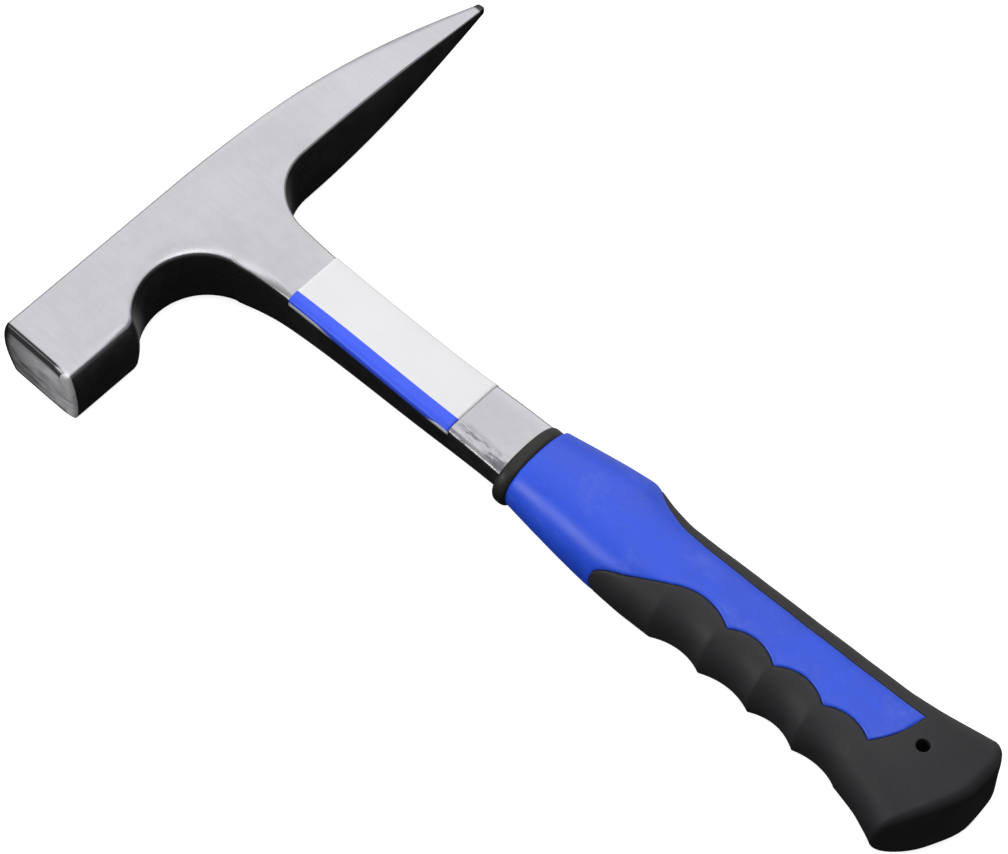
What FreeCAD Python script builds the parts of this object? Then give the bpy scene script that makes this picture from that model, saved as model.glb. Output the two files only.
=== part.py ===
import FreeCAD, Part
import math
import os

# One-piece steel rock hammer, lying on its side.
# Shapes are drawn in hammer axes and moved to the row frame at the end:
# X runs along the handle from the butt to the head, Y towards the striking face,
# and Z is the hammer's thickness, with Z = 0 on its middle plane. Millimetres.

# head
TOP_X = 289.3                # top of the head
FACE_Y = 75.0                # striking face
FACE_BEVEL = 1.6
HEAD_HALF = 12.4             # half of the head's thickness
POLL_UNDER_X = 262.8         # underside of the poll
BAY_START = (257.8, 13.4)    # round bay between the neck and the poll
BAY_TOP = (271.9, 31.6)
BAY_END_Y = 48.2

# pick
PICK_START_Y = 3.0           # the top leaves the straight here
PICK_MID = (285.1, -52.0)
PICK_TIP = (274.6, -106.6)
PICK_NOSE = (273.4, -107.8)
PICK_TIP_UNDER_X = 272.2
PICK_ROOT_X = 269.0
PICK_ROOT_R = 18.0           # fillet between the pick and the neck
THIN_START_Y = -25.0         # the cheeks start to close here
THIN_R = 280.0
THIN_END_Y = -84.0           # straight from here to the tip

# neck: distance along the handle, back edge, front edge, half height of the edge band
NECK = [
    (144.0, -12.9, 9.0, 4.0),
    (162.0, -12.1, 8.8, 4.5),
    (190.0, -10.2, 9.2, 5.6),
    (218.0, -9.4, 9.5, 6.9),
    (241.0, -9.1, 10.4, 8.5),
]
NECK_TOP_X = 241.0
NECK_CROWN = 0.8             # how far the cheek stands above the edge band
NECK_CROWN_IN = 3.6          # how far in from the edge the crown starts
SWELL = 0.58                 # share of the cheek's rise that is reached half way up the web
SHOULDER_X = 144.0           # the neck steps down to the tang
CHEEK_FLAT_X = 260.0         # the cheek reaches its full thickness

# tang
TANG_END_X = 32.0
TANG_HALF = 2.5
TANG_ROOT = (-11.0, 7.0)
TANG_END = (-7.5, 5.0)
TANG_HOLE_R = 3.5
TANG_HOLES_X = (52.0, 87.0, 122.0)

# hard inner moulding
CORE_X = (24.0, SHOULDER_X)
CORE_Y = (-11.5, 8.0)
CORE_HALF = 8.0
CORE_CORNER = 3.0

# grip: distance along the handle, back, front (over the ridges of the finger pad), half thickness
GRIP = [
    (-20.0, -27.4, 34.0, 14.4),
    (-4.0, -24.8, 27.4, 14.2),
    (2.0, -23.6, 23.4, 14.0),
    (8.0, -22.3, 19.8, 13.8),
    (16.0, -20.7, 16.3, 13.5),
    (26.0, -19.4, 14.0, 13.1),
    (41.0, -18.8, 13.6, 12.9),
    (58.0, -18.1, 13.2, 12.8),
    (76.0, -17.5, 13.7, 12.8),
    (93.0, -16.8, 14.8, 12.9),
    (104.0, -16.5, 15.2, 13.0),
    (112.0, -17.7, 15.0, 13.0),
    (120.0, -19.9, 14.6, 12.8),
    (130.0, -18.6, 13.8, 12.0),
    (141.0, -16.8, 12.7, 10.6),
    (150.0, -15.2, 11.7, 9.3),
    (162.0, -13.1, 10.4, 7.6),
]
GRIP_STEP = 4.0              # between the sections of the loft
SECTION_POWER = 2.3          # 2 is an ellipse, more is squarer
SECTION_POINTS = 28
GRIP_TOP_X = 150.0
RIDGES_X = (93.0, 75.4, 57.5, 40.9, 25.0)
GROOVE_DEPTHS = (2.2, 2.0, 2.4, 1.6)

# slanted, bowed butt end, from beyond the front toe round to beyond the heel
BUTT_END = [
    (13.0, 30.0),
    (6.3, 21.0),
    (-3.4, 6.5),
    (-7.6, -6.0),
    (-7.3, -14.6),
    (-4.2, -21.4),
    (-0.5, -26.5),
    (2.0, -31.0),
]
BUTT_EDGE_R = 3.0

# line between the blue body and the black over-moulding, seen from the side
PAD_TIP = (115.4, 14.4)
PAD_BEND = (93.7, 4.8)
PAD_BEND_VIA = (105.0, 10.2)
CUSPS = [(73.4, 4.3), (56.6, 4.1), (39.0, 3.9), (23.2, 3.6)]
SCALLOP_DEPTHS = (3.0, 2.8, 3.1, 2.3)
PANEL_END_VIA = (18.4, -4.0)
PANEL_END = (16.6, -13.0)
PAD_CUT_X = 116.9            # the pad's blunt tip leaves the handle's front here
STRIP_CUT_X = 122.0          # and the strip's tip leaves its back here
STRIP_EDGE = [(50.0, -11.9), (90.0, -11.2), (101.5, -11.6), (110.8, -13.5), (118.6, -17.4)]

# collar, label and hang hole
COLLAR_X = (150.0, 155.2)
COLLAR_Y = (-14.6, 12.8)
COLLAR_HALF = 9.7
COLLAR_EDGE_R = 1.6
LABEL_X = (175.0, 237.5)
LABEL_THICK = 0.25
LABEL_EDGE_IN = 0.5          # the label's free edges lie this far in from the neck's front
HANG_HOLE = (11.1, -5.0)
HANG_HOLE_R = 2.1

FAR = 60.0                   # reach of the cutting tools past the hammer


def vec(x, y, z=0.0):
    return FreeCAD.Vector(x, y, z)


def outline(start, *steps):
    """Closed wire in the XY plane. A step is (end,) for a line or (via, end) for an arc."""
    edges = []
    here = start
    for step in steps:
        end = step[-1]
        if len(step) == 1:
            edges.append(Part.makeLine(vec(*here), vec(*end)))
        else:
            edges.append(Part.Arc(vec(*here), vec(*step[0]), vec(*end)).toShape())
        here = end
    if here != start:
        edges.append(Part.makeLine(vec(*here), vec(*start)))
    return Part.Wire(edges)


def prism(wire, half):
    """Solid of an XY outline, from Z = -half to Z = half."""
    face = Part.Face(wire)
    face.translate(vec(0, 0, -half))
    return face.extrude(vec(0, 0, 2 * half))


def along(table, x):
    """Values of a station table at x, on straight lines between its rows."""
    for low, high in zip(table, table[1:]):
        if x <= high[0]:
            break
    t = (x - low[0]) / (high[0] - low[0])
    return [a + (b - a) * t for a, b in zip(low[1:], high[1:])]


def bulge(a, b, depth):
    """Middle point of an arc from a to b that dips by depth towards -Y."""
    return ((a[0] + b[0]) / 2, (a[1] + b[1]) / 2 - depth)


def head_block():
    """Poll, pick and the web above the neck."""
    back, front, half = along(NECK, NECK_TOP_X)
    root_centre = (PICK_ROOT_X - PICK_ROOT_R, back - PICK_ROOT_R)
    root_via = (root_centre[0] + PICK_ROOT_R * math.sqrt(0.5), root_centre[1] + PICK_ROOT_R * math.sqrt(0.5))
    side = outline(
        (TOP_X, FACE_Y),
        ((TOP_X, PICK_START_Y),),
        (PICK_MID, PICK_TIP),
        (PICK_NOSE, (PICK_TIP_UNDER_X, PICK_TIP[1])),
        ((PICK_ROOT_X, root_centre[1]),),
        (root_via, (root_centre[0], back)),
        ((NECK_TOP_X, back),),
        ((NECK_TOP_X, front),),
        (BAY_START,),
        (BAY_TOP, (POLL_UNDER_X, BAY_END_Y)),
        ((POLL_UNDER_X, FACE_Y),),
    )
    block = prism(side, HEAD_HALF)

    # the cheeks close towards the tip: an arc, then straight
    thin = THIN_START_Y - THIN_END_Y
    end_half = HEAD_HALF - thin ** 2 / (2 * THIN_R)
    mid_half = HEAD_HALF - thin ** 2 / (8 * THIN_R)
    nose_half = end_half - (thin / THIN_R) * (THIN_END_Y - PICK_NOSE[1])
    mid_y = (THIN_START_Y + THIN_END_Y) / 2
    taper = outline(
        (FAR * 2, HEAD_HALF),
        ((THIN_START_Y, HEAD_HALF),),
        ((mid_y, mid_half), (THIN_END_Y, end_half)),
        ((PICK_NOSE[1], nose_half),),
        ((PICK_NOSE[1], -nose_half),),
        ((THIN_END_Y, -end_half),),
        ((mid_y, -mid_half), (THIN_START_Y, -HEAD_HALF)),
        ((FAR * 2, -HEAD_HALF),),
    )
    taper_solid = Part.Face(taper).extrude(vec(0, 0, TOP_X * 2))
    # turn the drawing's X, Y and Z into the hammer's Y, Z and X
    taper_solid.transformShape(FreeCAD.Matrix(0, 0, 1, 0, 1, 0, 0, 0, 0, 1, 0, 0))
    block = block.common(taper_solid)

    # the cheeks thin from the web down to the neck
    top_half = half + NECK_CROWN
    rise = HEAD_HALF - top_half
    run = CHEEK_FLAT_X - NECK_TOP_X
    swell_via = (NECK_TOP_X + run / 2, top_half + rise * SWELL)
    swell = outline(
        (NECK_TOP_X, top_half),
        (swell_via, (CHEEK_FLAT_X, HEAD_HALF)),
        ((TOP_X + FAR, HEAD_HALF),),
        ((TOP_X + FAR, -HEAD_HALF),),
        ((CHEEK_FLAT_X, -HEAD_HALF),),
        ((swell_via[0], -swell_via[1]), (NECK_TOP_X, -top_half)),
    )
    swell_solid = Part.Face(swell).extrude(vec(0, 0, 4 * FAR))
    # turn the drawing's Y into the hammer's Z
    swell_solid.rotate(vec(0, 0, 0), vec(1, 0, 0), 90)
    swell_solid.translate(vec(0, 2 * FAR, 0))
    block = block.common(swell_solid)

    rim = [e for e in block.Edges if abs(e.BoundBox.YMin - FACE_Y) < 1e-3]
    return block.makeChamfer(FACE_BEVEL, rim)


def neck_wire(x, grow=0.0):
    """Eight-sided section of the neck: a flat edge band each side and a raised cheek."""
    back, front, band = along(NECK, x)
    back -= grow
    front += grow
    band += grow
    crown = band + NECK_CROWN
    points = [
        vec(x, front, band),
        vec(x, front - NECK_CROWN_IN, crown),
        vec(x, back + NECK_CROWN_IN, crown),
        vec(x, back, band),
        vec(x, back, -band),
        vec(x, back + NECK_CROWN_IN, -crown),
        vec(x, front - NECK_CROWN_IN, -crown),
        vec(x, front, -band),
    ]
    return Part.makePolygon(points + points[:1])


def neck_loft(xs, grow=0.0):
    return Part.makeLoft([neck_wire(x, grow) for x in xs], True, True)


def neck_stations(low, high):
    return [low] + [row[0] for row in NECK if low < row[0] < high] + [high]


def tang():
    """Flat tongue inside the grip, with cross holes that the core fills."""
    root_low, root_high = TANG_ROOT
    end_low, end_high = TANG_END
    side = outline(
        (SHOULDER_X, root_high),
        ((TANG_END_X, end_high),),
        ((TANG_END_X - 3.0, (end_low + end_high) / 2), (TANG_END_X, end_low)),
        ((SHOULDER_X, root_low),),
    )
    plate = prism(side, TANG_HALF)
    for x in TANG_HOLES_X:
        y = (along([(TANG_END_X, sum(TANG_END) / 2), (SHOULDER_X, sum(TANG_ROOT) / 2)], x))[0]
        plate = plate.cut(Part.makeCylinder(TANG_HOLE_R, 2 * FAR, vec(x, y, -FAR)))
    return plate


def steel_forging():
    neck = neck_loft(neck_stations(SHOULDER_X, NECK_TOP_X))
    return head_block().fuse([neck, tang()]).removeSplitter()


def oval(x, back, front, half):
    """Closed squarish oval across the handle at x."""
    centre = (back + front) / 2
    reach = (front - back) / 2
    points = []
    for i in range(SECTION_POINTS):
        angle = 2 * math.pi * i / SECTION_POINTS
        c = math.cos(angle)
        s = math.sin(angle)
        y = centre + reach * math.copysign(abs(c) ** (2 / SECTION_POWER), c)
        z = half * math.copysign(abs(s) ** (2 / SECTION_POWER), s)
        points.append(vec(x, y, z))
    curve = Part.BSplineCurve()
    curve.interpolate(Points=points, PeriodicFlag=True)
    return Part.Wire([curve.toShape()])


def groove(x):
    """Depth of the finger grooves at x: a parabola between each two ridges."""
    for high, low, depth in zip(RIDGES_X, RIDGES_X[1:], GROOVE_DEPTHS):
        if low < x < high:
            return depth * 4 * (x - low) * (high - x) / (high - low) ** 2
    return 0.0


def grip_envelope():
    """Outside of the whole grip: the lofted handle, its finger grooves and its rounded butt."""
    sections = []
    x = GRIP[0][0]
    while x <= GRIP[-1][0]:
        back, front, half = along(GRIP, x)
        sections.append(oval(x, back, front - groove(x), half))
        x += GRIP_STEP
    body = Part.makeLoft(sections, True, False)
    body = body.common(Part.makeBox(4 * FAR, 4 * FAR, 4 * FAR, vec(GRIP_TOP_X - 4 * FAR, -2 * FAR, -2 * FAR)))
    bow = Part.BSplineCurve()
    bow.interpolate([vec(*point) for point in BUTT_END])
    corners = [BUTT_END[-1], (GRIP_TOP_X, -FAR), (GRIP_TOP_X, FAR), BUTT_END[0]]
    sides = [Part.makeLine(vec(*a), vec(*b)) for a, b in zip(corners, corners[1:])]
    body = body.common(prism(Part.Wire([bow.toShape()] + sides), FAR))
    rim = [e for e in body.Edges if e.BoundBox.XMax < BUTT_END[0][0] and e.BoundBox.ZLength > 1.0]
    return body.makeFillet(BUTT_EDGE_R, rim)


def black_region():
    """Side outline of everything that the soft black moulding covers."""
    steps = [(PAD_TIP,), (PAD_BEND_VIA, PAD_BEND)]
    here = PAD_BEND
    for cusp, depth in zip(CUSPS, SCALLOP_DEPTHS):
        steps.append((bulge(here, cusp, depth), cusp))
        here = cusp
    steps.append((PANEL_END_VIA, PANEL_END))
    steps += [(point,) for point in STRIP_EDGE]
    steps += [((STRIP_CUT_X, -FAR),), ((-FAR, -FAR),), ((-FAR, FAR),)]
    return prism(outline((PAD_CUT_X, FAR), *steps), FAR)


def grip_core(forging):
    """Stiff inner moulding round the tang, with plugs through the tang's holes."""
    width = CORE_Y[1] - CORE_Y[0]
    bar = Part.makeBox(CORE_X[1] - CORE_X[0], width, 2 * CORE_HALF, vec(CORE_X[0], CORE_Y[0], -CORE_HALF))
    long_edges = [e for e in bar.Edges if e.BoundBox.XLength > 1.0]
    return bar.makeFillet(CORE_CORNER, long_edges).cut(forging)


def collar(forging):
    """Rounded bead that closes the top of the grip round the neck."""
    ring = Part.makeLoft([oval(x, COLLAR_Y[0], COLLAR_Y[1], COLLAR_HALF) for x in COLLAR_X], True, True)
    ring = ring.makeFillet(COLLAR_EDGE_R, [e for e in ring.Edges if e.BoundBox.XLength < 0.01])
    return ring.cut(forging)


def neck_label():
    """Thin vinyl film over the near cheek, the neck's back and the far cheek, open at the front."""
    xs = neck_stations(*LABEL_X)
    ring = neck_loft(xs, LABEL_THICK).cut(neck_loft(xs))
    edge = [(x, along(NECK, x)[1] - LABEL_EDGE_IN) for x in xs]
    gap = outline((xs[0], FAR), *[(point,) for point in edge], ((xs[-1], FAR),))
    return ring.cut(prism(gap, FAR))


def main():
    forging = steel_forging()
    envelope = grip_envelope()
    region = black_region()
    core = grip_core(forging)
    hang_hole = Part.makeCylinder(HANG_HOLE_R, 2 * FAR, vec(HANG_HOLE[0], HANG_HOLE[1], -FAR))
    nodes = {
        "steel_forging": forging,
        "grip_core": core,
        "grip_body": envelope.cut(region).cut(core).cut(forging),
        "grip_overmould": envelope.common(region).cut(core).cut(forging).cut(hang_hole),
        "collar": collar(forging),
        "neck_label": neck_label(),
    }

    # the row frame's origin is under the middle of the hammer's box
    box = Part.makeCompound(list(nodes.values())).optimalBoundingBox(False, False)
    move = vec(-(box.XMin + box.XMax) / 2, -(box.YMin + box.YMax) / 2, -box.ZMin)
    os.makedirs("parts", exist_ok=True)
    for name, shape in nodes.items():
        shape.translate(move)
        shape.exportStep(f"parts/{name}.step")
        print(name, "solids", len(shape.Solids), "valid", shape.isValid(), "cm3", round(shape.Volume / 1000, 2))
    print("move", move, "size", box.XLength, box.YLength, box.ZLength)


main()
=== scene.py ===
"""One-piece forged rock hammer with a two-colour moulded grip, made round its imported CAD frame."""

import math

import bmesh
import bpy
import numpy as np
from bpy.props import FloatProperty, FloatVectorProperty, PointerProperty
from bpy.types import Operator, Panel, PropertyGroup
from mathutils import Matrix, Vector


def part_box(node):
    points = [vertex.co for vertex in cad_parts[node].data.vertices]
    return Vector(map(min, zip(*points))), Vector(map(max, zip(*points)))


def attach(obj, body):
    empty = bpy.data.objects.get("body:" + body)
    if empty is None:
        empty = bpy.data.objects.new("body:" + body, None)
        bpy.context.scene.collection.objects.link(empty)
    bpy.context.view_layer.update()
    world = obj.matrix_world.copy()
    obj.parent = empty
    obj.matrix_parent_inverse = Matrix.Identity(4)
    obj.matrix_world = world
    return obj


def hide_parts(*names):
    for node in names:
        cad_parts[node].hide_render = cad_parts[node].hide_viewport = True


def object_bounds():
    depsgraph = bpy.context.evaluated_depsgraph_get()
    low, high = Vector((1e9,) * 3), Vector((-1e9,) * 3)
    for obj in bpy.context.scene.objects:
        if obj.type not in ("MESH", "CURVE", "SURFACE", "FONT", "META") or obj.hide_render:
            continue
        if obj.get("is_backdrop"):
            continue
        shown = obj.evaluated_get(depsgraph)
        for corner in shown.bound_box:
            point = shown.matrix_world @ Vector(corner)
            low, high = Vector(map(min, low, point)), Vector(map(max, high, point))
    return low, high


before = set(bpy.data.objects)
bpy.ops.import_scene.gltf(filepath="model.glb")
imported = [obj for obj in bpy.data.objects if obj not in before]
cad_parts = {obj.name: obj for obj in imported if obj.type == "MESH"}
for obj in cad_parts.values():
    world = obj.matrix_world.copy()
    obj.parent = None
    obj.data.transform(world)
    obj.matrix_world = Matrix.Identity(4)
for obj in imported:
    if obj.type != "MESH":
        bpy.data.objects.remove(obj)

bl_info = {
    "name": "Rock hammer",
    "version": (1, 0, 0),
    "blender": (4, 5, 0),
    "location": "3D View > Sidebar > Hammer",
    "description": "Makes a forged rock hammer, its moulded grip and a plain studio stage",
    "category": "Add Mesh",
}

# Lengths below are millimetres in the hammer's own axes: X from the butt to the head,
# Y towards the striking face, Z the thickness with zero on the middle plane.
BODY = "root"
MM = 0.001

# head
TOP_X = 289.3
FACE_Y = 75.0
HEAD_HALF = 12.4
TOP_EDGE_X = 288.7           # the top is crowned: its cheek edges lie lower than its middle
POLL_UNDER_X = 262.8
BAY = ((257.8, 13.4), (271.9, 31.6), (262.8, 48.2))
BAY_CORNER_R = 2.6
FRONT_SPLIT = (263.4, 15.7)  # where the front outline passes from the poll to the neck
BACK_SPLIT = (261.3, -12.3)
JUNCTION = (274.5, 3.0)      # where the middle lines of poll, pick and neck meet
FACE_HALF = 13.0
UNDER_ROWS, CORNER_ROWS, BAY_ROWS = 22, 12, 56
POLL_BEND = 0.45             # share of the poll along which its middle line stays halfway

# pick
PICK_START_Y = 3.0
PICK_TOP = ((288.7, 3.0), (285.0, -52.0), (275.3, -106.6))
TIP_Y = -106.6
TIP_UNDER_X = 272.5
UNDER_BOW = 0.6
NOSE_LENGTH = 1.7
ROOT_CENTRE = (251.0, -27.1)
ROOT_R = 18.0
THIN_START_Y = -25.0
THIN_R = 280.0
THIN_END_Y = -84.0
TOP_LEAD = 3.0               # the top's rows run this far past the root's fillet before they spread
ROOT_ROWS, PICK_ROWS, PICK_BEND_ROWS = 26, 78, 34
TIP_FLAT = 0.2               # share of the tip's section left flat at its end

# neck and tang: distance along the handle, back edge, front edge, half thickness of the cheek
NECK = np.array([
    (32.0, -7.5, 5.0, 2.5),
    (138.0, -11.0, 7.0, 2.5),
    (146.0, -12.9, 9.0, 4.85),
    (162.0, -12.3, 9.0, 5.6),
    (190.0, -10.4, 9.5, 6.75),
    (218.0, -9.6, 9.8, 8.0),
    (232.0, -9.3, 10.2, 8.8),
    (241.0, -9.1, 10.7, 9.6),
    (249.0, -9.1, 11.7, 10.55),
    (256.0, -9.1, 13.2, 11.35),
    (264.0, -9.1, 15.0, 12.05),
    (274.0, -9.1, 15.0, 12.4),
])
NECK_LEVEL_X = 250.0         # below this the rows run straight across the handle
NECK_SPACING = 1.15
NECK_ROWS, NECK_UPPER_ROWS, NECK_BEND_ROWS = 104, 18, 26
TANG_END, TANG_FLAT = 0.6, 0.8

# rims: width, height, and how far the wall under them bows out
NECK_RIM = (1.7, 0.7, 0.25)
BACK_RIM = (0.8, 0.5, 0.3)
TOP_RIM = (1.0, 0.5, 0.15)
TOP_WIDER, TOP_WIDER_Y = 1.6, (10.0, -30.0)
CROWN_Y = (-100.0, -10.0)    # the top's crown grows along here
POLL_RIM_X = (234.0, 254.0)  # the neck's rim grows to the poll's along here
BOW_Y = (28.0, 48.0)
CORNER_SPREAD = 75.0         # square millimetres round the bay's corner where the rim is narrow
TANG_EASE, TANG_RIM = 10.0, 0.4
TIP_SOFT_Y, TIP_SHRINK = (-60.0, -106.0), 0.55
RIM_POWER = 1.5
PROFILE_STEPS = (9, 11, 7)  # points over the cheek, the rim and the wall
NECK_CROWN = 0.35
NECK_CROWN_IN = 3.6
CROWN_END_X = (241.0, 256.0)

# grip: distance along the handle, back, front over the ridges, half thickness
GRIP = np.array([
    (-20.0, -27.4, 33.4, 13.5), (-4.0, -24.9, 27.0, 13.7), (2.0, -23.6, 23.1, 13.8),
    (8.0, -22.3, 19.6, 13.8), (16.0, -20.7, 16.3, 13.5), (26.0, -19.4, 14.0, 13.1),
    (41.0, -18.8, 13.6, 12.9), (58.0, -18.1, 13.2, 12.8), (76.0, -17.5, 13.7, 12.8),
    (93.0, -16.8, 14.8, 12.9), (104.0, -16.5, 15.2, 13.0), (112.0, -17.7, 15.0, 13.0),
    (120.0, -19.9, 14.6, 12.8), (130.0, -18.6, 13.8, 12.0), (141.0, -16.8, 12.7, 10.6),
    (150.0, -15.2, 11.7, 9.3), (162.0, -13.1, 10.4, 7.6),
])
SECTION_POWER = 2.3
GRIP_TOP_X = 150.0
RIDGES_X = (93.0, 75.4, 57.5, 40.9, 25.0)
GROOVE_DEPTHS = (2.2, 2.0, 2.4, 1.6)
BUTT_END = np.array([
    (2.0, -31.0), (-0.5, -26.5), (-4.2, -21.4), (-7.3, -14.6),
    (-7.6, -6.0), (-3.4, 6.5), (6.3, 21.0), (13.0, 30.0),
])
BUTT_EDGE_R = (1.2, 3.2, 2.8)  # at the toe, the sides and the heel
EASE_X = (-2.4, -1.2, 0.0, 1.2, 2.4)
EASE_WEIGHTS = (0.12, 0.22, 0.32, 0.22, 0.12)
PAD_STEPS, STRIP_STEPS, BODY_STEPS = 34, 16, 44
PANEL_ROWS_X, ROW_PITCH = 34, 0.75
WALL_ROWS, EDGE_ROWS, END_ROWS = 30, 10, 18
JOIN_ROWS = 12                 # rows of the butt that climb out of the parting line
LINE_WIDTH, BODY_RISE_WIDTH = 0.25, 0.8

# line between the blue body and the black over-moulding, seen from the side
JOIN_X = 16.6
PAD_EDGE = [(115.3, 15.2), (114.6, 14.1), (105.0, 10.4), (93.7, 4.8)]
CUSPS = [(93.7, 4.8), (73.4, 4.3), (56.6, 4.1), (39.0, 3.9), (23.2, 3.6)]
SCALLOP_DEPTHS = (3.0, 2.8, 3.1, 2.3)
PANEL_END = [(23.2, 3.6), (18.4, -4.0), (16.6, -13.0)]
STRIP_EDGE = np.array([
    (16.6, -13.0), (50.0, -11.9), (90.0, -11.2), (101.5, -11.6),
    (110.8, -14.0), (117.6, -18.2), (119.8, -20.0),
])

HANG_HOLE = (11.1, -5.0)
HANG_HOLE_R = 2.0
HOLE_ROUND_R = 0.3
HOLE_MARGIN = 2.2
COLLAR_X = (150.0, 154.7)
COLLAR_OUTER = (-14.3, 13.3, 9.5)
COLLAR_INNER = (-11.6, 8.0, 4.2)
BEAD_POWER, BEAD_DEPTH = 0.72, 0.32
LABEL_X = (175.0, 237.5)
LABEL_ROWS = 64
LABEL_WALL_STEPS = 2           # near side: steps of the front wall that the film covers
LABEL_RIM_STEPS = 4            # far side: steps of the front rim that it covers


# ---------------------------------------------------------------- shapes

def frame_origin():
    """The hammer's own origin in the frame, from the forging's box: its top, face and middle plane."""
    low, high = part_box("steel_forging")
    return np.array([high.x - TOP_X * MM, high.y - FACE_Y * MM, (low.z + high.z) / 2])


ORIGIN = frame_origin()


def fade(t):
    """Smooth step from 0 to 1: three t squared less two t cubed, held at the ends."""
    t = np.clip(t, 0, 1)
    return t * t * (3 - 2 * t)


def eased(value, start, end):
    """Smooth step from 0 at start to 1 at end."""
    return fade((value - start) / (end - start))


def curve_through(xs, ys, at):
    """Cubic pieces through the points, each slope the harmonic mean of its two chords,
    or level where the chords turn back, so the curve never overshoots a point."""
    xs, ys, at = np.asarray(xs, float), np.asarray(ys, float), np.asarray(at, float)
    step = np.diff(xs)
    chord = np.diff(ys) / step
    both = chord[:-1] * chord[1:]
    inner = np.where(both > 0, 2 * both / np.where(both > 0, chord[:-1] + chord[1:], 1), 0)
    slope = np.concatenate([chord[:1], inner, chord[-1:]])
    i = np.clip(np.searchsorted(xs, at, side="right") - 1, 0, len(step) - 1)
    t = np.clip((at - xs[i]) / step[i], 0, 1)
    return (ys[i] * (1 + 2 * t) * (1 - t) ** 2 + slope[i] * step[i] * t * (1 - t) ** 2
            + ys[i + 1] * t * t * (3 - 2 * t) + slope[i + 1] * step[i] * t * t * (t - 1))


def circle_through(a, via, b):
    """Centre and radius of the circle through three points."""
    a, via, b = (np.array(p, float) for p in (a, via, b))
    chords = np.array([via - a, b - a]) * 2
    centre = np.linalg.solve(chords, [via @ via - a @ a, b @ b - a @ a])
    return centre, np.linalg.norm(a - centre)


def arc_through(a, via, b, count):
    """Points on the circle through three points, evenly by angle from a to b."""
    centre, r = circle_through(a, via, b)
    start, mid, end = (math.atan2(*(p - centre)[::-1]) for p in (a, via, b))
    turn = (end - start) % (2 * math.pi)
    if (mid - start) % (2 * math.pi) > turn:
        turn -= 2 * math.pi
    angle = start + turn * np.linspace(0, 1, count)
    return centre + r * np.stack([np.cos(angle), np.sin(angle)], 1)


def on_circle(centre, r, start, end, count):
    """Points on a circle, evenly by angle."""
    angle = np.linspace(start, end, count)
    return np.array(centre) + r * np.stack([np.cos(angle), np.sin(angle)], 1)


def in_plane_normals(line):
    """Unit normals of a line of points in the XY plane, to the right of its direction."""
    along = np.gradient(line, axis=0)
    along /= np.linalg.norm(along, axis=1, keepdims=True)
    return np.stack([along[:, 1], -along[:, 0]], 1)


def grid_faces(rows, columns, start=0, closed=False):
    """Quads of a grid of points, row by row. A closed grid joins its last column to its first."""
    i, j = np.meshgrid(np.arange(rows - 1), np.arange(columns if closed else columns - 1), indexing="ij")
    k = (j + 1) % columns
    a, b = i * columns + j, i * columns + k
    return start + np.stack([a, b, b + columns, a + columns], -1).reshape(-1, 4)


class Surface:
    """Grids of points gathered into one mesh."""

    def __init__(self):
        self.points, self.faces, self.values, self.count = [], [], [], 0

    def grid(self, points, closed=False, values=None):
        """Adds a grid of rows by columns by 3, with one value a point if asked."""
        rows, columns = points.shape[:2]
        self.faces.append(grid_faces(rows, columns, self.count, closed))
        self.points.append(points.reshape(-1, 3))
        self.values.append(np.zeros(rows * columns) if values is None else values.reshape(-1))
        self.count += rows * columns

    def mirrored(self, points, values=None):
        """Adds a grid and its mirror image in the middle plane."""
        self.grid(points, values=values)
        self.grid((points * [1, 1, -1])[:, ::-1], values=None if values is None else values[:, ::-1])

    def made(self, name, weld=0.02, attribute=None, closed=True):
        """The mesh object: doubles merged, faces turned outwards, placed in the frame."""
        mesh = bpy.data.meshes.new(name)
        points = np.concatenate(self.points) * MM + ORIGIN
        mesh.from_pydata(points.tolist(), [], np.concatenate(self.faces).tolist())
        if attribute:
            layer = mesh.attributes.new(attribute, "FLOAT", "POINT")
            layer.data.foreach_set("value", np.concatenate(self.values))
        work = bmesh.new()
        work.from_mesh(mesh)
        bmesh.ops.remove_doubles(work, verts=work.verts, dist=weld * MM)
        bmesh.ops.dissolve_degenerate(work, edges=work.edges, dist=weld * MM / 4)
        bmesh.ops.recalc_face_normals(work, faces=work.faces)
        if closed and work.calc_volume(signed=True) < 0:
            bmesh.ops.reverse_faces(work, faces=work.faces)
        work.to_mesh(mesh)
        work.free()
        mesh.polygons.foreach_set("use_smooth", np.ones(len(mesh.polygons), bool))
        mesh.update()
        piece = bpy.data.objects.new(name, mesh)
        bpy.context.scene.collection.objects.link(piece)
        return piece


def settle(piece, material, node):
    """Gives a finished piece its material and says where it belongs."""
    piece.data.materials.append(material)
    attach(piece, BODY)
    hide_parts(node)


def shell(piece, thickness):
    """Thickens an open skin inwards and closes its rims."""
    wall = piece.modifiers.new("wall", "SOLIDIFY")
    wall.thickness = thickness * MM
    wall.offset = -1
    wall.use_rim = True
    wall.use_even_offset = False


# ---------------------------------------------------------------- forging

def neck_edges(x):
    """Back edge, front edge and half thickness of the neck at x."""
    return tuple(curve_through(NECK[:, 0], NECK[:, k], x) for k in (1, 2, 3))


def cheek_height(x, y, inward):
    """Half thickness of the forging: the neck's table along X, less the pick's thinning along Y,
    less the neck's crown, which grows over the first few millimetres in from the edge."""
    _, _, height = neck_edges(np.minimum(x, NECK[-1, 0]))
    back = np.maximum(THIN_START_Y - y, 0)
    bend = THIN_START_Y - THIN_END_Y
    straight = bend ** 2 / (2 * THIN_R) + (back - bend) * bend / THIN_R
    thinning = np.where(back < bend, back ** 2 / (2 * THIN_R), straight)
    crown = NECK_CROWN * (1 - eased(x, *CROWN_END_X)) * eased(x, NECK[1, 0], NECK[2, 0])
    return np.minimum(height, HEAD_HALF - thinning) - crown * (1 - fade(inward / NECK_CROWN_IN))


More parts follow.
